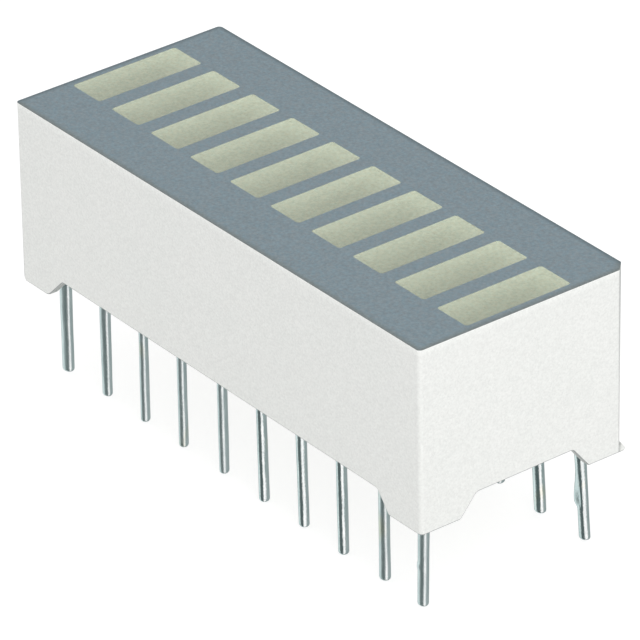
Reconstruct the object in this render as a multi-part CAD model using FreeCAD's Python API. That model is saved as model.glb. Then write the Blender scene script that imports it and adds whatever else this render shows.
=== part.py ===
"""Ten-segment LED bar graph display with two rows of ten leads.

Frame, in millimetres: the origin is the centre of the lead grid on the seating plane, which is the
underside of the four corner feet. +X runs along the display towards the cut corner and segment 1,
+Y across it towards lead row 1 to 10, and +Z up through the display face.
"""
import math
import os

import FreeCAD
import Part

Vector = FreeCAD.Vector

# Segments and windows
segment_count = 10
pitch = 2.54                   # segment to segment, and lead to lead in a row
window_length = 5.02           # across the display
window_width = 1.77            # along the display
window_corner_cut = 0.08
window_lip = 0.35              # straight part of a well under the face
well_floor_length = 2.5        # opening of a well round its chip
well_floor_width = 1.15
well_floor_corner_cut = 0.3

# Leads
row_spacing = 7.62
lead_radius = 0.23
lead_reach = 4.2               # from the seating plane down to the tips
tip_flat_radius = 0.11
tip_length = 0.14
shank_radius = 0.25            # over the corners of the eight flats that grip the board and potting

# Housing
stacking_gap = 0.1             # displays are butted end to end on the pitch
wall = 0.35
lead_to_wall = 0.62
display_height = 8.0           # seating plane to face
roof = 0.9                     # over the channels
core_wall = 0.42               # beside the wells
edge_radius = 0.18             # upright edges
sharp_edge_radius = 0.12       # the one upright edge with hardly any rounding
key_cut = 0.42                 # cut corner beside lead 1
key_start = 0.175              # the cut stops this far over the foot's underside
nub_reach = 0.235              # what is left of the corner under the cut juts out this far
nub_height = 0.07              # of its tip over the foot's underside
nub_foot_reach = 0.15          # how far it juts out at the underside
corner_share = 0.49            # of its shorter side, the most that a rounded corner may take
plain_foot = 1.7               # along a long wall, at the plain end
plain_ramp = 0.98
plain_rise = 0.99              # height of the raised bottom edge beside that foot
plain_foot_radius = 0.5
keyed_foot = 1.97              # along a long wall, at the end with the cut corner
keyed_ramp = 0.7
keyed_rise = 0.87
end_foot = 1.915               # across an end wall
end_ramp = 0.77
end_rise = 0.91                # on the side of leads 11 to 20
far_end_rise = 0.96            # on the side of leads 1 to 10
foot_corner_radius = 0.16
foot_hollow_radius = 0.22
worn_foot_edge = 0.18          # bevel under the two feet at the plain end
ink_thickness = 0.03

# Board, potting and joints, from the bottom up
potting_recess = 0.16          # potting stops this far above the raised bottom edges
potting_cover = 0.5            # potting under the board
board_thickness = 0.8
board_clearance = 0.1
hole_clearance = 0.05
copper_thickness = 0.035
land_radius = 0.52
track_width = 0.3
die_pad = 0.62
bond_pad_length = 0.45
bond_pad_start = 0.6           # from the middle of the chip
solder_radius = 0.45
solder_top_radius = 0.16
solder_height = 0.36

# Chips and bond wires
chip_size = 0.3
chip_height = 0.2
wire_size = 0.03
wire_rise = 0.28
wire_steps = 6

# Worked out from the sizes above
body_length = segment_count * pitch - stacking_gap
body_width = row_spacing + 2 * (lead_radius + lead_to_wall + wall)
cavity_length = body_length - 2 * wall
cavity_width = body_width - 2 * wall
core_width = window_length + 2 * core_wall
housing_top = display_height - ink_thickness
channel_top = housing_top - roof
potting_bottom = plain_rise + potting_recess
board_bottom = potting_bottom + potting_cover
board_top = board_bottom + board_thickness
copper_top = board_top + copper_thickness
chip_top = copper_top + chip_height
hole_radius = shank_radius + hole_clearance
bond_pad_middle = bond_pad_start + bond_pad_length / 2
margin = 1.0                   # how far cutting shapes run past what they cut


def rounded_wire(corners, place):
    """A closed wire through (a, b, radius) corners, each drawn in space by place(a, b)."""
    edges = []
    last_end = None
    first_start = None
    count = len(corners)
    for i, (a, b, radius) in enumerate(corners):
        corner = Vector(a, b, 0)
        back = Vector(*corners[i - 1][:2], 0) - corner
        ahead = Vector(*corners[(i + 1) % count][:2], 0) - corner
        start = end = corner
        if radius > 0:
            half = back.getAngle(ahead) / 2
            room = corner_share * min(back.Length, ahead.Length)
            reach = min(radius / math.tan(half), room)
            radius = reach * math.tan(half)
            back.normalize()
            ahead.normalize()
            inward = (back + ahead).normalize()
            start = corner + back * reach
            end = corner + ahead * reach
            middle = corner + inward * (radius / math.sin(half) - radius)
        if last_end is not None:
            edges.append(Part.makeLine(place(last_end.x, last_end.y), place(start.x, start.y)))
        if radius > 0:
            points = [place(p.x, p.y) for p in (start, middle, end)]
            edges.append(Part.Arc(*points).toShape())
        first_start = start if first_start is None else first_start
        last_end = end
    edges.append(Part.makeLine(place(last_end.x, last_end.y), place(first_start.x, first_start.y)))
    return Part.Wire(edges)


def at_height(z):
    """Draws outline points on the level plane at z."""
    return lambda x, y: Vector(x, y, z)


def prism(corners, bottom, top):
    """Upright prism on an outline of (x, y, radius) corners."""
    face = Part.Face(rounded_wire(corners, at_height(bottom)))
    return face.extrude(Vector(0, 0, top - bottom))


def centred_box(length, width, bottom, top, x=0.0, y=0.0):
    return Part.makeBox(length, width, top - bottom, Vector(x - length / 2, y - width / 2, bottom))


def segment_x(number):
    """Segment 1 is at the end with the cut corner."""
    return ((segment_count + 1) / 2 - number) * pitch


def lead_place(number):
    """Lead 1 is beside the cut corner, and the count runs round as on any dual-in-line part."""
    if number <= segment_count:
        return segment_x(number), row_spacing / 2
    return segment_x(2 * segment_count + 1 - number), -row_spacing / 2


def cut_rectangle(length, width, corner_cut, z, x):
    """Level eight-sided ring of points: a rectangle with its corners cut, long across the display."""
    half_x = width / 2
    half_y = length / 2
    inner_x = half_x - corner_cut
    inner_y = half_y - corner_cut
    points = [
        (half_x, -inner_y), (half_x, inner_y), (inner_x, half_y), (-inner_x, half_y),
        (-half_x, inner_y), (-half_x, -inner_y), (-inner_x, -half_y), (inner_x, -half_y),
    ]
    return [Vector(x + px, py, z) for px, py in points]


def octagon(radius, x, y, z):
    """Level ring of eight points, with two flats facing each neighbour; radius is to a corner."""
    turn = math.pi / 4
    angles = [(i + 0.5) * turn for i in range(8)]
    return [Vector(x + radius * math.cos(a), y + radius * math.sin(a), z) for a in angles]


def plane_face(ring):
    return Part.Face(Part.makePolygon(ring + ring[:1]))


def tapered_prism(lower, upper):
    """Solid between two level rings with as many points, flat on every side."""
    sides = []
    for i in range(len(lower)):
        j = (i + 1) % len(lower)
        sides.append(plane_face([lower[i], lower[j], upper[j], upper[i]]))
    return Part.Solid(Part.Shell([plane_face(lower), plane_face(upper)] + sides))


def eight_sided(radius, bottom, top, x=0.0, y=0.0):
    """Upright prism on an octagon. Repeated round features out of sight are drawn like this."""
    return plane_face(octagon(radius, x, y, bottom)).extrude(Vector(0, 0, top - bottom))


def well(number):
    """The flared space of one reflector well, from the copper up to the display face."""
    x = segment_x(number)
    lip_bottom = display_height - window_lip
    floor = cut_rectangle(well_floor_length, well_floor_width, well_floor_corner_cut, copper_top, x)
    mouth = cut_rectangle(window_length, window_width, window_corner_cut, lip_bottom, x)
    flare = tapered_prism(floor, mouth)
    lip = plane_face(mouth).extrude(Vector(0, 0, window_lip))
    return flare.fuse(lip).removeSplitter()


def body_outline():
    x = body_length / 2
    y = body_width / 2
    return [(-x, -y, sharp_edge_radius), (x, -y, edge_radius), (x, y, 0), (-x, y, edge_radius)]


def key_cutter():
    """Takes off the corner beside lead 1 down to a small nub over the foot's underside."""
    outward = Vector(1, 1, 0).normalize()
    along = Vector(-1, 1, 0).normalize()
    corner = Vector(body_length / 2, body_width / 2, 0)
    depth = key_cut / math.sqrt(2)
    profile = [
        (-depth, display_height + margin),
        (-depth, key_start),
        (nub_reach - depth, nub_height),
        (nub_foot_reach - depth, 0),
        (nub_foot_reach - depth, -margin),
        (margin, -margin),
        (margin, display_height + margin),
    ]
    start = corner - along * key_cut
    points = [start + outward * a + Vector(0, 0, z) for a, z in profile]
    face = Part.Face(Part.makePolygon(points + points[:1]))
    return face.extrude(along * (2 * key_cut))


def relief_cutter(span, low_foot, high_foot, bevel, place, sweep):
    """Raises the bottom edge of a wall between its two feet, with the foot at the low end worn.

    The wall is span long. Each foot has a length, a ramp, a height of the edge and a rounding.
    """
    end = span / 2
    out = end + margin
    low_length, low_ramp, low_rise, low_radius = low_foot
    high_length, high_ramp, high_rise, high_radius = high_foot
    corners = [
        (-out, -margin, 0),
        (-out, bevel + margin, 0),
        (bevel - end, 0, 0),
        (low_length - end, 0, low_radius),
        (low_length + low_ramp - end, low_rise, foot_hollow_radius),
        (end - high_length - high_ramp, high_rise, foot_hollow_radius),
        (end - high_length, 0, high_radius),
        (out, 0, 0),
        (out, -margin, 0),
    ]
    return Part.Face(rounded_wire(corners, place)).extrude(sweep)


def side_relief():
    """The raised edge of both long walls."""
    half = body_width / 2 + margin

    def place(a, z):
        return Vector(a, -half, z)

    plain_end = (plain_foot, plain_ramp, plain_rise, plain_foot_radius)
    keyed_end = (keyed_foot, keyed_ramp, keyed_rise, foot_corner_radius)
    return relief_cutter(body_length, plain_end, keyed_end, worn_foot_edge, place, Vector(0, 2 * half, 0))


def end_relief():
    """The raised edge of both end walls."""
    half = body_length / 2 + margin

    def place(a, z):
        return Vector(-half, a, z)

    near_side = (end_foot, end_ramp, end_rise, foot_corner_radius)
    far_side = (end_foot, end_ramp, far_end_rise, foot_corner_radius)
    return relief_cutter(body_width, near_side, far_side, 0, place, Vector(2 * half, 0, 0))


def channels():
    """The cored space over each row of leads."""
    width = (cavity_width - core_width) / 2
    middle = (cavity_width + core_width) / 4
    near = centred_box(cavity_length, width, copper_top, channel_top, y=-middle)
    far = centred_box(cavity_length, width, copper_top, channel_top, y=middle)
    return [near, far]


def wells():
    return [well(n) for n in range(1, segment_count + 1)]


def housing():
    block = prism(body_outline(), 0, housing_top)
    cavity = centred_box(cavity_length, cavity_width, -margin, copper_top)
    return block.cut([side_relief(), end_relief(), cavity, key_cutter()] + channels() + wells())


def face_ink():
    """The printed layer, open over every window."""
    film = prism(body_outline(), housing_top, display_height)
    return film.cut([key_cutter()] + wells())


def lead_at_origin():
    """Round tinned wire with a blunt tip below the seating plane, and its eight-sided shank above."""
    profile = [
        (0, -lead_reach),
        (tip_flat_radius, -lead_reach),
        (lead_radius, -lead_reach + tip_length),
        (lead_radius, 0),
        (0, 0),
    ]
    outline = plane_face([Vector(r, 0, z) for r, z in profile])
    wire = outline.revolve(Vector(0, 0, 0), Vector(0, 0, 1), 360)
    return wire.fuse(eight_sided(shank_radius, 0, copper_top))


def lead(number):
    x, y = lead_place(number)
    return lead_at_origin().translated(Vector(x, y, 0))


def on_leads(make):
    """One copy of a shape on every lead's axis."""
    return [make(*lead_place(n)) for n in range(1, 2 * segment_count + 1)]


def lead_holes(bottom, top):
    return on_leads(lambda x, y: eight_sided(hole_radius, bottom, top, x, y))


def board_blank():
    length = cavity_length - 2 * board_clearance
    width = cavity_width - 2 * board_clearance
    return centred_box(length, width, board_bottom, board_top)


def circuit_board():
    return board_blank().cut(lead_holes(board_bottom - margin, board_top + margin))


def copper_island(x, side, start, pad_length):
    """Pad, track and land on one side of a segment; side is -1 or +1 across the display."""
    row = side * row_spacing / 2
    pad = centred_box(die_pad, pad_length, board_top, copper_top, x, side * (start + pad_length / 2))
    track_start = start + pad_length / 2
    track_length = row_spacing / 2 - track_start
    middle = side * (track_start + track_length / 2)
    track = centred_box(track_width, track_length, board_top, copper_top, x, middle)
    land = eight_sided(land_radius, board_top, copper_top, x, row)
    hole = eight_sided(hole_radius, board_top, copper_top, x, row)
    return pad.fuse([track, land]).cut(hole).removeSplitter()


def copper_tracks():
    """Two islands for each segment: the chip stands on one, and its wire ends on the other."""
    islands = []
    for number in range(1, segment_count + 1):
        x = segment_x(number)
        islands.append(copper_island(x, -1, -die_pad / 2, die_pad))
        islands.append(copper_island(x, 1, bond_pad_start, bond_pad_length))
    return Part.makeCompound(islands)


def led_chip(number):
    return centred_box(chip_size, chip_size, copper_top, chip_top, segment_x(number))


def bond_wire(number):
    """A square-drawn wire that loops from the top of the chip down to its pad."""
    centre_line = []
    for step in range(-1, wire_steps + 2):
        u = step / wire_steps
        level = chip_top + (copper_top - chip_top) * u + 4 * wire_rise * u * (1 - u)
        centre_line.append(Vector(0, bond_pad_middle * u, level))
    upper = []
    lower = []
    for before, point, after in zip(centre_line, centre_line[1:], centre_line[2:]):
        run = (after - before).normalize()
        normal = Vector(0, -run.z, run.y) * (wire_size / 2)
        upper.append(point + normal)
        lower.append(point - normal)
    feet = [
        lower[0] - Vector(0, 0, chip_height / 2),
        upper[0] - Vector(0, 0, chip_height / 2),
    ]
    toes = [
        upper[-1] - Vector(0, 0, copper_thickness),
        lower[-1] - Vector(0, 0, copper_thickness),
    ]
    outline = feet + upper + toes + lower[::-1]
    face = Part.Face(Part.makePolygon(outline + outline[:1]))
    strip = face.extrude(Vector(wire_size, 0, 0))
    strip.translate(Vector(segment_x(number) - wire_size / 2, 0, 0))
    under = centred_box(pitch, window_length, board_top - margin, copper_top, segment_x(number))
    return strip.cut([led_chip(number), under])


def segment(number):
    """The cast diffuser that fills a well and holds its chip and wire."""
    return well(number).cut([led_chip(number), bond_wire(number)])


def solder_cap(x, y):
    """Solder over the end of one lead and the land round it."""
    rim = octagon(solder_radius, x, y, copper_top)
    crown = octagon(solder_top_radius, x, y, copper_top + solder_height)
    return tapered_prism(rim, crown)


def solder_joints():
    return Part.makeCompound(on_leads(solder_cap))


def potting():
    """Cast resin under and round the board, with every lead standing in it."""
    fill = centred_box(cavity_length, cavity_width, potting_bottom, board_top)
    shanks = on_leads(lambda x, y: eight_sided(shank_radius, 0, copper_top, x, y))
    return fill.cut([board_blank()] + shanks)


def one_solid(shape):
    """The single solid in a result of cutting or fusing."""
    assert len(shape.Solids) == 1, len(shape.Solids)
    return shape.Solids[0]


def build():
    nodes = {
        "housing": one_solid(housing()),
        "face_ink": one_solid(face_ink()),
        "circuit_board": one_solid(circuit_board()),
        "copper_tracks": copper_tracks(),
        "solder_joints": solder_joints(),
        "potting": one_solid(potting()),
    }
    for number in range(1, segment_count + 1):
        nodes[f"segment_{number:02d}"] = one_solid(segment(number))
        nodes[f"led_chip_{number:02d}"] = led_chip(number)
        nodes[f"bond_wire_{number:02d}"] = one_solid(bond_wire(number))
    for number in range(1, 2 * segment_count + 1):
        nodes[f"pin_{number:02d}"] = lead(number)
    return nodes


os.makedirs("parts", exist_ok=True)
for name, shape in build().items():
    shape.exportStep(f"parts/{name}.step")
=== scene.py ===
import math

import bmesh
import bpy
from mathutils import Matrix, Vector


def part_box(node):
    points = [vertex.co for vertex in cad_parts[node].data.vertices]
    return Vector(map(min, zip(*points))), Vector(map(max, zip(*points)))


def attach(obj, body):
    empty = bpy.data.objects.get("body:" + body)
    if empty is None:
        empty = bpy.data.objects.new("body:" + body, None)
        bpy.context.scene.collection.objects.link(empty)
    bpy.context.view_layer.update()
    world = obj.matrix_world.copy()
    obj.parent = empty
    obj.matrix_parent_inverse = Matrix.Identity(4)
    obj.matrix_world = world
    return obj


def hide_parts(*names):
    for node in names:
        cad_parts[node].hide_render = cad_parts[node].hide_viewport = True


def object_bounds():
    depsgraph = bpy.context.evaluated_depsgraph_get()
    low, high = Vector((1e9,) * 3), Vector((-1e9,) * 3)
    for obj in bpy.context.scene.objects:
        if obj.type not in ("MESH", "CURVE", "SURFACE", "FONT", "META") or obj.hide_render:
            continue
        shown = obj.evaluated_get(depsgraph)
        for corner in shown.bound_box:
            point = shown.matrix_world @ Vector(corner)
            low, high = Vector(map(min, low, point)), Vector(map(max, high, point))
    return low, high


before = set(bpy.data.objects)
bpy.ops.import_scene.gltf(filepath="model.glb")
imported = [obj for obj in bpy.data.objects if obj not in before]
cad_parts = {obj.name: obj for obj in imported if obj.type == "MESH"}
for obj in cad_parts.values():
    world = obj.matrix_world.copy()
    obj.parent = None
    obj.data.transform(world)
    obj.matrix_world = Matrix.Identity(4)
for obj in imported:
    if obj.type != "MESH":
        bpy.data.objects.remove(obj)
cad_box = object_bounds()

mm = 0.001

# Display, as its parts list has it
segment_count = 10
lead_count = 20

# Camera, at the angle of the photograph
camera_azimuth = math.radians(52.66)
camera_elevation = math.radians(29.77)
camera_roll = math.radians(-1.083)
camera_distance = 289.5 * mm
camera_aim = (0.037 * mm, 1.651 * mm)      # to the right and up in the picture
camera_reach = (0.01, 20.0)                # nearest and farthest that it sees
focal_length = 7457.0                      # in pixels of the picture's width
picture_width = 640
sensor_width = 36.0

# Moulded body and printed face
moulded_edge = 0.12 * mm
printed_edge = 0.012 * mm
edge_steps = 3
# width of the painted shade along the printed face's outline
rim_shade_width = 0.24 * mm
key_cut = 0.42 * mm             # cut corner
sharp_fold = math.radians(33)
flat_fold = math.radians(0.5)   # faces that fold less than this are joined into one
weld = 0.0005 * mm              # points nearer than this are one
skin_depth = 0.02 * mm          # how far in from the outer walls an edge still counts as outer
corner_reach = 0.5 * mm         # size of the body's rounded and cut corners
just_under = 0.001 * mm         # tells the points on a top face from those below it

# Diffusers: cast resin that fills the reflector wells
window_length = 5.02 * mm
window_width = 1.77 * mm
window_corner = 0.13 * mm
window_corner_steps = 4
window_lip = 0.35 * mm
well_floor_length = 2.5 * mm
well_floor_width = 1.15 * mm
resin_bite = 0.006 * mm         # resin wets the walls of its well
resin_dish = 0.012 * mm         # how far the cast surface sinks in the middle
resin_rim = 0.12 * mm

# Leads
lead_radius = 0.224 * mm
lead_sides = 48
lead_fold = math.radians(50)
tip_round = 0.13 * mm
tip_steps = 5
ring_step = 0.1 * mm

# Habits of the leads that show: the shift to the right in the photograph at the feet and at the tip,
# and how much the lead is short, in mm; its girth as a share of the plain lead's; then how far its
# section is out of round, as shares of its radius: skewed, and flattened on the side towards the camera
lead_habits = {
    1: (-0.10, 0.095, 0.11, 0.98, 0.11, 0.12), 2: (-0.155, 0.0, 0.13, 1.03, 0.12, 0.05),
    3: (-0.02, 0.03, 0.29, 1.0, 0.0, 0.0),
    11: (-0.005, -0.03, 0.15, 1.05, 0.13, -0.04), 12: (0.04, 0.02, 0.15, 0.92, 0.07, -0.04),
    13: (0.02, 0.01, 0.12, 0.84, -0.03, -0.02), 14: (-0.01, -0.01, 0.13, 0.86, -0.02, -0.05),
    15: (0.03, 0.04, 0.10, 0.89, -0.05, -0.02), 16: (0.0, 0.05, 0.0, 0.93, 0.0, 0.05),
    17: (-0.02, 0.035, 0.05, 0.95, 0.05, 0.09), 18: (-0.045, -0.01, 0.02, 0.96, 0.0, 0.03),
    19: (-0.01, -0.005, 0.08, 0.98, 0.06, -0.02), 20: (-0.08, -0.145, 0.15, 0.98, 0.07, 0.0),
}
hidden_lean = 0.03                 # most that a hidden lead shifts, in mm
hidden_steps = (2.1, 1.3)          # how far its lean goes on from lead to lead, at the feet and at the tip
hidden_habits = (0.12, 1.0, 0.02, 0.0)     # a hidden lead's shortness, girth, skew and flattening
dull_leads = (5, 8, 11, 12, 13, 14, 15, 19, 20)
flat_turn = 18                     # of the flattened side, in degrees to the right of the camera's side
flat_width = 32                    # in degrees

# Waves in the tin: height as a share of the wire's radius, length, and shift from lead to lead
slow_wave = (0.012, 0.9 * mm, 2.3)
quick_wave = (0.008, 0.37 * mm, 4.1)

# Runs of extra tin: the heights at which each starts, is thickest and ends
drip_run = (-0.9 * mm, -2.45 * mm, -2.72 * mm)     # down the left of lead 1
collar_run = (1.0 * mm, 0.2 * mm, -1.3 * mm)       # round the upper end of lead 1
bead_run = (-2.1 * mm, -2.3 * mm, -2.5 * mm)       # on the left of the last lead
skirt_run = (1.0 * mm, -0.6 * mm, -3.75 * mm)      # down the left of the skirted leads
skirted_leads = (11, 12)

# Their thickness, as a share of the wire's radius; the drip has a ridge with a hollow beside it, each
# with its middle and its width in degrees round the wire
drip_ridge = (0.57, -114, 20)
drip_hollow = (0.13, -52, 28)
collar_thickness = 0.08
bead_thickness = 0.14
skirt_thickness = 0.10

# Floor and light
floor_size = 3.0
floor_gap = 0.02 * mm
paper_white = 0.88              # how much light the floor throws back on the display
seen_paper = 0.34               # how much of it the camera sees, beside the paper's own glow
paper_glow = 0.80
even_light = 0.76
lamp_place = (0.458, -0.176, 0.344)
lamp_aim = (0, 0, 0.004)
lamp_size = 0.45
lamp_power = 1.16

# Screens of the room that the leads mirror: the direction of each mark in degrees, and its colour
room_screens = [
    (-180, (0.40, 0.43, 0.43)), (-167, (0.80, 0.83, 0.83)), (-133, (0.80, 0.83, 0.83)),
    (-114, (0.11, 0.13, 0.13)), (-52, (0.11, 0.13, 0.13)), (-36, (1.30, 1.14, 1.14)),
    (-8, (1.30, 1.14, 1.14)), (10, (0.35, 0.37, 0.37)), (130, (0.35, 0.37, 0.37)),
    (150, (0.50, 0.53, 0.53)),
]
screens_top = -0.12             # slope below which a mirrored direction starts to meet the screens
screens_full = -0.3             # and below which it meets nothing else


def view_axes():
    """Right, up and back of the camera, with its small roll."""
    back = Vector((
        math.sin(camera_azimuth) * math.cos(camera_elevation),
        -math.cos(camera_azimuth) * math.cos(camera_elevation),
        math.sin(camera_elevation),
    ))
    right = Vector((0, 0, 1)).cross(back).normalized()
    turn = Matrix.Rotation(camera_roll, 3, back)
    return turn @ right, turn @ back.cross(right), back


def make_camera():
    """A plain camera with the place, turn and focal length of the one that took the photograph."""
    right, up, back = view_axes()
    data = bpy.data.cameras.new("photo_camera")
    data.sensor_width = sensor_width
    data.lens = focal_length * sensor_width / picture_width
    data.clip_start, data.clip_end = camera_reach
    camera = bpy.data.objects.new("photo_camera", data)
    place = right * camera_aim[0] + up * camera_aim[1] + back * camera_distance
    turn = Matrix((right, up, back)).transposed().to_4x4()
    camera.matrix_world = Matrix.Translation(place) @ turn
    bpy.context.scene.collection.objects.link(camera)
    bpy.context.scene.camera = camera


# Parts of materials


def new_material(name, colour, roughness, **sockets):
    """A named material with its shader's own sockets set; returns it with its tree and shader."""
    made = bpy.data.materials.new(name)
    made.use_nodes = True
    tree = made.node_tree
    shader = tree.nodes["Principled BSDF"]
    shader.inputs["Base Color"].default_value = (*colour, 1)
    shader.inputs["Roughness"].default_value = roughness
    for socket, value in sockets.items():
        shader.inputs[socket.replace("_", " ")].default_value = value
    return made, tree, shader


def object_point(tree, stretch=(1, 1, 1)):
    """Object coordinates, squeezed or stretched along the axes."""
    place = tree.nodes.new("ShaderNodeTexCoord")
    mapping = tree.nodes.new("ShaderNodeMapping")
    mapping.inputs["Scale"].default_value = stretch
    tree.links.new(place.outputs["Object"], mapping.inputs["Vector"])
    return mapping.outputs["Vector"]


def axes_of(tree, vector):
    """The X, Y and Z of a vector, by name."""
    axes = tree.nodes.new("ShaderNodeSeparateXYZ")
    tree.links.new(vector, axes.inputs[0])
    return axes.outputs


def grain(tree, point, size, detail=2.0, rough=0.5):
    """Noise whose spots are about size across."""
    noise = tree.nodes.new("ShaderNodeTexNoise")
    noise.inputs["Scale"].default_value = 1 / size
    noise.inputs["Detail"].default_value = detail
    noise.inputs["Roughness"].default_value = rough
    tree.links.new(point, noise.inputs["Vector"])
    return noise.outputs["Fac"]


def remap(tree, value, low, high, to_low=0, to_high=1):
    """Moves a value evenly from one range to another, and holds it at the new range's ends."""
    node = tree.nodes.new("ShaderNodeMapRange")
    tree.links.new(value, node.inputs["Value"])
    limits = zip(("From Min", "From Max", "To Min", "To Max"), (low, high, to_low, to_high))
    for socket, number in limits:
        node.inputs[socket].default_value = number
    return node.outputs["Result"]


def spread(tree, noise, reach, low=0, high=1):
    """Noise between low and high, which it meets where it is its reach away from one half."""
    return remap(tree, noise, 0.5 - reach, 0.5 + reach, low, high)


def blend_colours(tree, factor, first, second, mode="MIX"):
    """Mixes two colours, each a plain colour or a linked socket."""
    node = tree.nodes.new("ShaderNodeMix")
    node.data_type = "RGBA"
    node.blend_type = mode
    first_socket, second_socket, result = node.inputs[6], node.inputs[7], node.outputs[2]
    if isinstance(factor, (int, float)):
        node.inputs["Factor"].default_value = factor
    else:
        tree.links.new(factor, node.inputs["Factor"])
    for socket, colour in ((first_socket, first), (second_socket, second)):
        if isinstance(colour, tuple):
            socket.default_value = (*colour, 1)
        else:
            tree.links.new(colour, socket)
    return result


def combine(tree, operation, first, second):
    """Adds, multiplies or otherwise joins two numbers or linked sockets."""
    node = tree.nodes.new("ShaderNodeMath")
    node.operation = operation
    for socket, value in zip(node.inputs, (first, second)):
        if isinstance(value, (int, float)):
            socket.default_value = value
        else:
            tree.links.new(value, socket)
    return node.outputs[0]


def along(tree, point, axis, start, end, most):
    """Grows from 1 to most between two places on an axis."""
    return remap(tree, axes_of(tree, point)[axis], start, end, to_low=1, to_high=most)


def near_outline(tree, point, lines, width):
    """Grows from 0 to 1 over the last of the way out to the nearest of the lines.

    A line is written as its outward direction in X and Y and how far out it lies.
    """
    axes = axes_of(tree, point)
    nearest = -1.0
    for x_way, y_way, reach in lines:
        x_part = combine(tree, "MULTIPLY", axes["X"], x_way)
        y_part = combine(tree, "MULTIPLY", axes["Y"], y_way)
        past = combine(tree, "SUBTRACT", combine(tree, "ADD", x_part, y_part), reach)
        scaled = combine(tree, "DIVIDE", past, math.hypot(x_way, y_way))
        nearest = combine(tree, "MAXIMUM", nearest, scaled)
    return remap(tree, nearest, low=-width, high=0)


def grey_of(tree, value):
    """The same number in all three colours."""
    node = tree.nodes.new("ShaderNodeCombineColor")
    for socket in node.inputs:
        tree.links.new(value, socket)
    return node.outputs["Color"]


def colour_surface(tree, shader, colour, tone=None):
    """Gives the shader its colour, made lighter and darker by the tone if there is one."""
    if tone is not None:
        colour = blend_colours(tree, 1.0, colour, grey_of(tree, tone), "MULTIPLY")
    tree.links.new(colour, shader.inputs["Base Color"])


def roughen_surface(tree, shader, noise, low, high):
    """Moves the shader's roughness between two values."""
    tree.links.new(spread(tree, noise, reach=0.2, low=low, high=high), shader.inputs["Roughness"])


def raise_surface(tree, shader, height, depth, strength=1.0):
    """Lets a height stand out of the surface by at most the depth."""
    node = tree.nodes.new("ShaderNodeBump")
    node.inputs["Strength"].default_value = strength
    node.inputs["Distance"].default_value = depth
    tree.links.new(height, node.inputs["Height"])
    tree.links.new(node.outputs["Normal"], shader.inputs["Normal"])


def let_light_in(tree, shader, tint):
    """Lets the light of lamps and walls through a clear material to what lies behind it."""
    seen = tree.nodes.new("ShaderNodeLightPath")
    clear = tree.nodes.new("ShaderNodeBsdfTransparent")
    clear.inputs["Color"].default_value = (*tint, 1)
    choice = tree.nodes.new("ShaderNodeMixShader")
    passing = combine(tree, "MAXIMUM", seen.outputs["Is Shadow Ray"], seen.outputs["Is Diffuse Ray"])
    tree.links.new(passing, choice.inputs[0])
    tree.links.new(shader.outputs[0], choice.inputs[1])
    tree.links.new(clear.outputs[0], choice.inputs[2])
    tree.links.new(choice.outputs[0], tree.nodes["Material Output"].inputs["Surface"])


# Materials


def white_moulding():
    """Filled white plastic: a fine satin, with painted shade under its edges and on its cut corner, and a
    painted highlight along its top.
    """
    pale = (0.882, 0.891, 0.867)
    cool = (0.872, 0.884, 0.859)
    # painted shade for the roundings under the edges and the faces that look down
    under_edge_shade = (0.36, 0.38, 0.375)
    # painted shade on the flat of the cut corner
    cut_face_shade = (0.58, 0.595, 0.58)
    top_highlight_band = 0.3 * mm
    made, tree, shader = new_material("white_moulding", pale, roughness=0.5, Specular_IOR_Level=0.35)
    point = object_point(tree)
    clouds = spread(tree, grain(tree, point, size=2.6 * mm, detail=3), reach=0.15)
    specks = grain(tree, point, size=0.09 * mm, rough=0.7)
    tone = spread(tree, specks, reach=0.25, low=0.915, high=1.085)
    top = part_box("housing")[1][2]
    # painted highlight: the grain's tone made up to 9 % lighter over the band just below the top
    glow = combine(tree, "MULTIPLY", tone, along(tree, point, "Z", top - top_highlight_band, top, most=1.09))
    base = blend_colours(tree, clouds, pale, cool)
    # painted shade on the cut corner's flat, over the clouded plastic
    shaded_cut_face = blend_colours(tree, on_cut_face(tree, point), base, cut_face_shade)
    # painted shade under the edges, laid over the plastic's colour
    shaded_under_edges = blend_colours(tree, shade_under_edges(tree), shaded_cut_face, under_edge_shade)
    colour_surface(tree, shader, shaded_under_edges, glow)
    roughen_surface(tree, shader, specks, low=0.42, high=0.58)
    raise_surface(tree, shader, specks, depth=0.004 * mm, strength=0.5)
    return made


def on_cut_face(tree, point):
    """1 on the flat of the cut corner, and 0 on the walls beside it and on the nub below it."""
    wall_fade = 0.03 * mm
    nub_start = 0.1 * mm
    nub_fade = 0.05 * mm
    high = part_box("housing")[1]
    face = high[0] + high[1] - key_cut
    at_face = near_outline(tree, point, ((1, 1, face),), wall_fade)
    past_face = near_outline(tree, point, ((1, 1, face + nub_start),), nub_fade)
    return combine(tree, "SUBTRACT", at_face, past_face)


def shade_under_edges(tree):
    """Where shade is painted: from 0 on walls to 1 on the rounding below them, and half of that on faces
    that look down.
    """
    place = tree.nodes.new("ShaderNodeTexCoord")
    upward = axes_of(tree, place.outputs["Normal"])["Z"]
    rounding = remap(tree, upward, low=-0.01, high=-0.15)
    half_on_downward_faces = remap(tree, upward, low=-0.45, high=-0.65, to_low=1, to_high=0.5)
    return combine(tree, "MULTIPLY", rounding, half_on_downward_faces)


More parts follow.
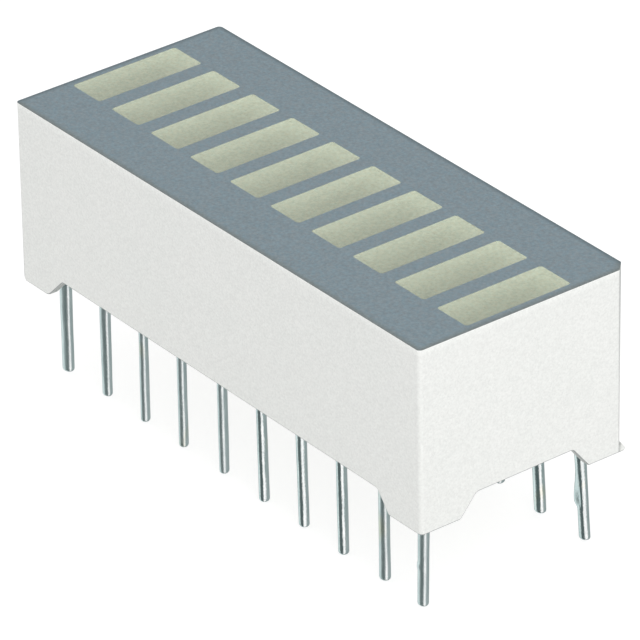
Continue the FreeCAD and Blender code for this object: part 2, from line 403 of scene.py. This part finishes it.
def grey_print():
    """Screen-printed matt grey with the fine mottle of ink, and painted shade along its outer edge, darker
    on the far sides.
    """
    blue = (0.202, 0.282, 0.327)
    warm = (0.228, 0.272, 0.294)
    # painted shade along the outline: lighter on the sides towards the camera and lamp, darker on the far
    # sides
    near_rim_shade = (0.186, 0.216, 0.216)
    far_rim_shade = (0.110, 0.152, 0.172)
    made, tree, shader = new_material("grey_print", blue, roughness=0.55, Specular_IOR_Level=0.3)
    point = object_point(tree)
    mottle = spread(tree, grain(tree, point, size=0.15 * mm, rough=0.6), reach=0.2)
    specks = grain(tree, point, size=0.12 * mm, detail=3, rough=0.7)
    ink = blend_colours(tree, mottle, blue, warm)
    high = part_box("face_ink")[1]
    near_lines = ((1, 0, high[0]), (0, -1, high[1]), (1, 1, high[0] + high[1] - key_cut))
    far_lines = ((-1, 0, high[0]), (0, 1, high[1]))
    with_near_rim_shade = blend_colours(tree, near_outline(tree, point, near_lines, rim_shade_width), ink, near_rim_shade)
    with_rim_shade = blend_colours(tree, near_outline(tree, point, far_lines, rim_shade_width), with_near_rim_shade, far_rim_shade)
    colour_surface(tree, shader, with_rim_shade, tone=spread(tree, specks, reach=0.25, low=0.78, high=1.22))
    roughen_surface(tree, shader, specks, low=0.48, high=0.62)
    raise_surface(tree, shader, specks, depth=0.003 * mm, strength=0.4)
    return made


def milky_resin():
    """Cast resin, tinted a weak green, hazy with diffusing grains, and with painted light that makes it
    paler towards leads 1 to 10.
    """
    milk = (0.518, 0.610, 0.468)
    deep = (0.577, 0.594, 0.431)
    clear = (0.945, 0.965, 0.895)
    made, tree, shader = new_material(
        "milky_resin", milk, roughness=0.2, IOR=1.5, Transmission_Weight=0.5, Specular_IOR_Level=0.4
    )
    point = object_point(tree)
    clouds = spread(tree, grain(tree, point, size=0.16 * mm, detail=3, rough=0.6), reach=0.2)
    specks = grain(tree, point, size=0.12 * mm, rough=0.7)
    tone = spread(tree, specks, reach=0.25, low=0.82, high=1.18)
    # the grain's tone is the resin's own; the rise of up to 13 % towards leads 1 to 10 is painted light
    # from the wells' far walls
    tone_and_far_light = combine(tree, "MULTIPLY", tone, along(tree, point, "Y", 0, window_length / 2, most=1.13))
    colour_surface(tree, shader, blend_colours(tree, clouds, milk, deep), tone=tone_and_far_light)
    raise_surface(tree, shader, specks, depth=0.002 * mm, strength=0.3)
    let_light_in(tree, shader, clear)
    return made


def tinned_wire(name, gloss, gloss_end, roll):
    """Hot-tinned wire: long runs of bright tin, small dull grains and a trace of flux.

    Its roughness lies between gloss and gloss_end, and roll is how high its tin stands.
    """
    bright = (0.83, 0.95, 0.945)
    dull = (0.66, 0.79, 0.79)
    flux = (0.82, 0.83, 0.60)
    made, tree, shader = new_material(name, bright, gloss, Metallic=1.0)
    runs = grain(tree, object_point(tree, stretch=(1, 1, 0.12)), size=0.12 * mm, detail=3, rough=0.6)
    grains = grain(tree, object_point(tree, stretch=(1, 1, 0.8)), size=0.06 * mm, detail=3, rough=0.65)
    patches = grain(tree, object_point(tree, stretch=(1, 1, 0.4)), size=0.9 * mm)
    tin = blend_colours(tree, spread(tree, runs, reach=0.15), bright, dull)
    stained = blend_colours(tree, remap(tree, patches, low=0.60, high=0.72, to_high=0.5), tin, flux)
    colour_surface(tree, shader, stained)
    roughen_surface(tree, shader, grains, gloss, gloss_end)
    raise_surface(tree, shader, combine(tree, "ADD", runs, grains), depth=roll, strength=0.9)
    return made


def potting_resin():
    """Clear amber-white resin with small bubbles, poured in from below."""
    cream = (0.60, 0.61, 0.50)
    deep = (0.47, 0.50, 0.40)
    froth = (0.72, 0.73, 0.64)
    bubble_spacing = 0.8 * mm
    bubble_edge = 0.14                     # in shares of their spacing
    bubble_middle = 0.08
    made, tree, shader = new_material(
        "potting_resin", cream, roughness=0.12, IOR=1.5, Coat_Weight=0.4, Coat_Roughness=0.05
    )
    point = object_point(tree)
    flow = grain(tree, point, size=3.0 * mm, detail=3)
    bubbles = tree.nodes.new("ShaderNodeTexVoronoi")
    bubbles.inputs["Scale"].default_value = 1 / bubble_spacing
    tree.links.new(point, bubbles.inputs["Vector"])
    spots = remap(tree, bubbles.outputs["Distance"], bubble_middle, bubble_edge, to_low=1, to_high=0)
    base = blend_colours(tree, spread(tree, flow, reach=0.15), cream, deep)
    colour_surface(tree, shader, blend_colours(tree, spots, base, froth))
    pimples = combine(tree, "MULTIPLY", spots, 0.1)
    raise_surface(tree, shader, combine(tree, "ADD", flow, pimples), depth=0.08 * mm, strength=0.5)
    return made


def board_laminate():
    """Green-brown glass laminate with a trace of its weave."""
    green = (0.22, 0.30, 0.12)
    pale = (0.36, 0.42, 0.22)
    thread = 0.25 * mm
    made, tree, shader = new_material("board_laminate", green, roughness=0.5)
    weave = combine(
        tree, "MULTIPLY",
        grain(tree, object_point(tree, stretch=(1, 0.05, 1)), thread),
        grain(tree, object_point(tree, stretch=(0.05, 1, 1)), thread),
    )
    colour_surface(tree, shader, blend_colours(tree, remap(tree, weave, low=0.15, high=0.35), green, pale))
    raise_surface(tree, shader, weave, depth=0.01 * mm, strength=0.5)
    return made


def brushed_metal(name, bright, dull, roughness, size):
    """A plain metal with a fine grain in its colour and gloss."""
    made, tree, shader = new_material(name, bright, roughness, Metallic=1.0)
    spots = grain(tree, object_point(tree), size, detail=3, rough=0.6)
    colour_surface(tree, shader, blend_colours(tree, spread(tree, spots, reach=0.15), bright, dull))
    roughen_surface(tree, shader, spots, low=roughness * 0.7, high=roughness * 1.4)
    raise_surface(tree, shader, spots, depth=0.004 * mm, strength=0.4)
    return made


def chip_crystal():
    """Sawn semiconductor: dark olive, with paler specks that are painted glints."""
    olive = (0.16, 0.15, 0.08)
    dark = (0.10, 0.10, 0.06)
    # painted glints: paler specks in the crystal's colour
    painted_glint = (0.30, 0.27, 0.14)
    made, tree, shader = new_material("chip_crystal", olive, roughness=0.25, Specular_IOR_Level=0.8)
    spots = grain(tree, object_point(tree), size=0.03 * mm, detail=3, rough=0.7)
    colour_surface(tree, shader, blend_colours(tree, spots, dark, painted_glint))
    raise_surface(tree, shader, spots, depth=0.002 * mm, strength=0.5)
    return made


def dress(obj, material):
    """Gives every face of a piece the one material."""
    obj.data.materials.clear()
    obj.data.materials.append(material)


# Pieces


def new_piece(name, bm, material, smooth=sharp_fold):
    """Turns a finished bmesh into a piece of the display."""
    mesh = bpy.data.meshes.new(name)
    bm.to_mesh(mesh)
    bm.free()
    mesh.shade_smooth()
    mesh.set_sharp_from_angle(angle=smooth)
    piece = bpy.data.objects.new(name, mesh)
    bpy.context.scene.collection.objects.link(piece)
    dress(piece, material)
    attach(piece, "root")
    return piece


def merged_copy(node):
    """The node's own shape with its loose triangles joined into flat faces."""
    bm = bmesh.new()
    bm.from_mesh(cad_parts[node].data)
    bmesh.ops.remove_doubles(bm, verts=bm.verts, dist=weld)
    bmesh.ops.dissolve_limit(bm, angle_limit=flat_fold, verts=bm.verts, edges=bm.edges, delimit=set())
    return bm


def folded_edges(bm, wanted):
    """The clearly folded edges whose two ends both pass the test."""
    edges = []
    for edge in bm.edges:
        if len(edge.link_faces) == 2 and edge.calc_face_angle(0) > sharp_fold:
            if all(wanted(v.co) for v in edge.verts):
                edges.append(edge)
    return edges


def soften(bm, edges, width):
    """Rounds edges off by a width."""
    bmesh.ops.bevel(
        bm, geom=edges, offset=width, offset_type="OFFSET", segments=edge_steps,
        profile=0.5, affect="EDGES", clamp_overlap=True, material=-1,
    )


def keep_walls_flat(piece):
    """Shades large faces flat up to their edges, so that only the narrow roundings shade softly."""
    weights = piece.modifiers.new("wall_normals", "WEIGHTED_NORMAL")
    weights.keep_sharp = True


def outer_skin(node):
    """A test for points on the outer walls of a node, its rounded and cut corners included."""
    low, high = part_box(node)

    def on_skin(point):
        x_room = min(point.x - low[0], high[0] - point.x)
        y_room = min(point.y - low[1], high[1] - point.y)
        return min(x_room, y_room) < skin_depth or x_room + y_room < corner_reach

    return on_skin


def housing_moulding(material):
    """The moulded body with its mould-sharp outer edges just broken, but for those under the print."""
    bm = merged_copy("housing")
    on_skin = outer_skin("housing")
    under_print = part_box("housing")[1][2] - just_under
    outer_edges = folded_edges(bm, lambda point: on_skin(point) and point.z < under_print)
    soften(bm, outer_edges, moulded_edge)
    piece = new_piece("housing_moulding", bm, material)
    keep_walls_flat(piece)
    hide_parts("housing")


def printed_face(material):
    """The printed layer, with the soft edge that ink has."""
    bm = merged_copy("face_ink")
    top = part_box("face_ink")[1][2]
    soften(bm, folded_edges(bm, lambda point: point.z > top - just_under), printed_edge)
    piece = new_piece("printed_face", bm, material)
    keep_walls_flat(piece)
    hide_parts("face_ink")


def points_of(geometry):
    """The points among the parts that an extrusion returns."""
    return [part for part in geometry if isinstance(part, bmesh.types.BMVert)]


def diffuser(number, material):
    """Cast resin in one well: a dished surface, a straight lip and a flare down to the chip."""
    node = f"segment_{number:02d}"
    low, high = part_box(node)
    x = (low[0] + high[0]) / 2
    top = high[2] - resin_bite
    bottom = low[2]
    bm = bmesh.new()
    bmesh.ops.create_grid(bm, x_segments=1, y_segments=1, size=0.5)     # 1 across, to be scaled
    outline = Vector((window_width + 2 * resin_bite, window_length + 2 * resin_bite, 1))
    bmesh.ops.scale(bm, vec=outline, verts=bm.verts)
    bmesh.ops.bevel(
        bm, geom=bm.verts[:], offset=window_corner, offset_type="OFFSET", segments=window_corner_steps,
        profile=0.5, affect="VERTICES", clamp_overlap=True, material=-1,
    )
    bmesh.ops.translate(bm, vec=(x, 0, top - window_lip), verts=bm.verts)
    rim = bm.faces[:]
    upper = bmesh.ops.extrude_face_region(bm, geom=rim, use_keep_orig=True)["geom"]
    bmesh.ops.translate(bm, vec=(0, 0, window_lip), verts=points_of(upper))
    surface = [part for part in upper if isinstance(part, bmesh.types.BMFace)]
    bmesh.ops.inset_region(bm, faces=surface, thickness=resin_rim, depth=-resin_dish, use_even_offset=True)
    flare = bmesh.ops.extrude_face_region(bm, geom=rim, use_keep_orig=True)["geom"]
    bmesh.ops.delete(bm, geom=rim, context="FACES_ONLY")
    floor = points_of(flare)
    bmesh.ops.translate(bm, vec=(0, 0, bottom + window_lip - top), verts=floor)
    taper = Vector((well_floor_width / window_width, well_floor_length / window_length, 1))
    bmesh.ops.scale(bm, vec=taper, verts=floor, space=Matrix.Translation((-x, 0, 0)))
    bmesh.ops.recalc_face_normals(bm, faces=bm.faces)
    piece = new_piece(f"diffuser_{number:02d}", bm, material)
    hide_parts(node)


def tip_profile(bottom):
    """The rounded end of a wire, from its side round to its middle."""
    points = []
    for step in range(tip_steps + 1):
        turn = step / tip_steps * math.pi / 2
        radius = lead_radius - tip_round * (1 - math.cos(turn))
        points.append((radius, bottom + tip_round * (1 - math.sin(turn))))
    return points + [(0, bottom)]


def wire_profile(top, bottom):
    """Half of a straight wire's outline, as pairs of radius and height from its top to its tip."""
    straight_end = bottom + tip_round
    steps = round((top - straight_end) / ring_step)
    points = [(0, top)]
    for step in range(steps):
        points.append((lead_radius, top + (straight_end - top) * step / steps))
    return points + tip_profile(bottom)


def lead(number, material):
    """Round wire with the small lean, the length and the uneven tinning of the real lead."""
    node = f"pin_{number:02d}"
    low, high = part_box(node)
    middle = Vector(((low[0] + high[0]) / 2, (low[1] + high[1]) / 2, 0))
    at_feet, at_tip, short, girth, skew, flat = habits(number)
    bm = bmesh.new()
    chain = [bm.verts.new((radius, 0, z)) for radius, z in wire_profile(high[2], low[2] + short)]
    edges = [bm.edges.new(pair) for pair in zip(chain, chain[1:])]
    bmesh.ops.spin(
        bm, geom=chain + edges, cent=(0, 0, 0), axis=(0, 0, 1), dvec=(0, 0, 0),
        angle=2 * math.pi, steps=lead_sides, use_merge=True, use_duplicate=False,
    )
    bmesh.ops.remove_doubles(bm, verts=bm.verts, dist=weld)
    bmesh.ops.recalc_face_normals(bm, faces=bm.faces)
    right = view_axes()[0]
    right.z = 0
    right.normalize()
    for vert in bm.verts:
        down = min(max(vert.co.z / low[2], 0), 1)
        sway = at_feet + (at_tip - at_feet) * down
        swell = girth - 1 + out_of_round(vert.co, skew, flat) + tinning(number, vert.co)
        vert.co += vert.co.xyz * Vector((swell, swell, 0)) + right * sway + middle
    piece = new_piece(f"lead_{number:02d}", bm, material, lead_fold)
    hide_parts(node)


def habits(number):
    """A lead's shift at its feet and at its tip, its shortness, girth, skew and flattening."""
    leans = tuple(hidden_lean * math.sin(step * number) for step in hidden_steps)
    at_feet, at_tip, short, *section = lead_habits.get(number, leans + hidden_habits)
    return at_feet * mm, at_tip * mm, short * mm, *section


def turn_of(point):
    """A point's turn about the lead's axis, from the camera's side to the right."""
    return math.atan2(point.y, point.x) - camera_azimuth + math.pi / 2


def hill(turn, height, middle, width):
    """A smooth hill round the wire, its middle and its width in degrees."""
    aside = math.remainder(turn - math.radians(middle), 2 * math.pi) / math.radians(width)
    return height * math.exp(-aside * aside)


def out_of_round(point, skew, flat):
    """How far the plain wire's section stands out at a point, as a share of its radius."""
    turn = turn_of(point)
    return skew * math.sin(2 * turn) - hill(turn, flat, flat_turn, flat_width)


def wave(z, number, height, length, shift, twist=0.0):
    """One wave of the tin, at another place along each lead."""
    return height * math.sin(z / length + shift * number + twist)


def run_of_tin(z, start, top, end):
    """Rises from start to top and falls to end, both smoothly."""
    if z > start or z < end:
        return 0.0
    share = (start - z) / (start - top) if z > top else (z - end) / (top - end)
    return math.sin(share * math.pi / 2) ** 2


def tinning(number, point):
    """How much thicker the wire and its tin are at a point, as a share of the wire's radius."""
    z = point.z
    turn = turn_of(point)
    left = max(-math.sin(turn), 0)
    swell = wave(z, number, *slow_wave) + wave(z, number, *quick_wave, twist=2 * turn)
    if number == 1:
        swell += run_of_tin(z, *drip_run) * (hill(turn, *drip_ridge) - hill(turn, *drip_hollow))
        swell += run_of_tin(z, *collar_run) * collar_thickness
    if number == lead_count:
        swell += run_of_tin(z, *bead_run) * bead_thickness * left ** 2
    if number in skirted_leads:
        swell += run_of_tin(z, *skirt_run) * skirt_thickness * left ** 1.5
    return swell


# Studio


def make_floor():
    """A large pale sheet under the tips of the leads, clear from below."""
    bm = bmesh.new()
    bmesh.ops.create_grid(bm, x_segments=1, y_segments=1, size=floor_size / 2)
    bmesh.ops.translate(bm, vec=(0, 0, cad_box[0].z - floor_gap), verts=bm.verts)
    mesh = bpy.data.meshes.new("floor")
    bm.to_mesh(mesh)
    bm.free()
    floor = bpy.data.objects.new("floor", mesh)
    bpy.context.scene.collection.objects.link(floor)
    floor.visible_glossy = False
    dress(floor, pale_floor())


def pale_floor():
    """White paper: part of its light is its own for the camera, and the rest keeps the shadow."""
    made = bpy.data.materials.new("pale_floor")
    made.use_nodes = True
    tree = made.node_tree
    tree.nodes.clear()
    paper = tree.nodes.new("ShaderNodeBsdfDiffuse")
    glow = tree.nodes.new("ShaderNodeEmission")
    seen = tree.nodes.new("ShaderNodeLightPath").outputs["Is Camera Ray"]
    shade = blend_colours(tree, seen, (paper_white,) * 3, (seen_paper,) * 3)
    tree.links.new(shade, paper.inputs["Color"])
    tree.links.new(combine(tree, "MULTIPLY", seen, paper_glow), glow.inputs["Strength"])
    both = tree.nodes.new("ShaderNodeAddShader")
    tree.links.new(paper.outputs[0], both.inputs[0])
    tree.links.new(glow.outputs[0], both.inputs[1])
    clear = tree.nodes.new("ShaderNodeBsdfTransparent")
    side = tree.nodes.new("ShaderNodeNewGeometry")
    choice = tree.nodes.new("ShaderNodeMixShader")
    tree.links.new(side.outputs["Backfacing"], choice.inputs[0])
    tree.links.new(both.outputs[0], choice.inputs[1])
    tree.links.new(clear.outputs[0], choice.inputs[2])
    out = tree.nodes.new("ShaderNodeOutputMaterial")
    tree.links.new(choice.outputs[0], out.inputs["Surface"])
    return made


def area_lamp(name, place, aim, size, power):
    """A square soft lamp that shines from one place towards another."""
    data = bpy.data.lights.new(name, "AREA")
    data.shape = "SQUARE"
    data.size = size
    data.energy = power
    lamp = bpy.data.objects.new(name, data)
    lamp.location = place
    lamp.rotation_euler = (Vector(aim) - Vector(place)).to_track_quat("-Z", "Y").to_euler()
    bpy.context.scene.collection.objects.link(lamp)


def screen_colours(tree, turn):
    """The colour of the room's screens in a direction, softly blended from mark to mark."""
    screens = tree.nodes.new("ShaderNodeValToRGB")
    tree.links.new(remap(tree, turn, -math.pi, math.pi), screens.inputs["Fac"])
    marks = screens.color_ramp
    marks.interpolation = "EASE"
    while len(marks.elements) < len(room_screens):
        marks.elements.new(0.5)            # anywhere, since each mark gets its place below
    for mark, (angle, colour) in zip(marks.elements, room_screens):
        mark.position = (angle + 180) / 360
        mark.color = (*colour, 1)
    return screens.outputs["Color"]


def studio_world():
    """Even white light, white to the eye, with the room's dark and pale screens in what metal shows."""
    world = bpy.data.worlds.new("studio")
    bpy.context.scene.world = world
    world.use_nodes = True
    tree = world.node_tree
    tree.nodes.clear()
    seen = tree.nodes.new("ShaderNodeLightPath")
    place = tree.nodes.new("ShaderNodeTexCoord")
    axes = axes_of(tree, place.outputs["Generated"])
    screens = screen_colours(tree, combine(tree, "ARCTAN2", axes["Y"], axes["X"]))
    below = remap(tree, axes["Z"], screens_top, screens_full)
    shine = combine(tree, "MULTIPLY", below, seen.outputs["Is Glossy Ray"])
    light = blend_colours(tree, shine, (even_light,) * 3, screens)
    plain = combine(tree, "MAXIMUM", seen.outputs["Is Camera Ray"], seen.outputs["Is Transmission Ray"])
    back = tree.nodes.new("ShaderNodeBackground")
    tree.links.new(blend_colours(tree, plain, light, (1.0, 1.0, 1.0)), back.inputs["Color"])
    out = tree.nodes.new("ShaderNodeOutputWorld")
    tree.links.new(back.outputs[0], out.inputs["Surface"])


def light_studio():
    """Even light all round and one soft lamp on the display's cut-corner end."""
    studio_world()
    area_lamp("soft_box", lamp_place, lamp_aim, lamp_size, lamp_power)
    bpy.context.scene.view_settings.view_transform = "Standard"


def dress_inner_parts():
    """The board and what stands on it keep their shapes and get real finishes."""
    copper = brushed_metal(
        "copper_foil", bright=(0.72, 0.40, 0.24), dull=(0.58, 0.30, 0.18), roughness=0.3, size=0.15 * mm
    )
    solder = brushed_metal(
        "solder", bright=(0.62, 0.65, 0.66), dull=(0.50, 0.53, 0.54), roughness=0.2, size=0.2 * mm
    )
    gold = brushed_metal(
        "gold_wire", bright=(0.95, 0.68, 0.25), dull=(0.85, 0.58, 0.2), roughness=0.2, size=0.02 * mm
    )
    crystal = chip_crystal()
    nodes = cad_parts
    dress(nodes["circuit_board"], board_laminate())
    dress(nodes["copper_tracks"], copper)
    dress(nodes["solder_joints"], solder)
    dress(nodes["potting"], potting_resin())
    for number in range(1, segment_count + 1):
        dress(nodes[f"led_chip_{number:02d}"], crystal)
        dress(nodes[f"bond_wire_{number:02d}"], gold)


def make_display():
    """Every piece of the display, each with its finish."""
    housing_moulding(white_moulding())
    printed_face(grey_print())
    resin = milky_resin()
    for number in range(1, segment_count + 1):
        diffuser(number, resin)
    bright_tin = tinned_wire("bright_tin", gloss=0.08, gloss_end=0.19, roll=0.008 * mm)
    dull_tin = tinned_wire("dull_tin", gloss=0.28, gloss_end=0.38, roll=0.005 * mm)
    for number in range(1, lead_count + 1):
        lead(number, dull_tin if number in dull_leads else bright_tin)
    dress_inner_parts()


make_camera()
make_display()
make_floor()
light_studio()
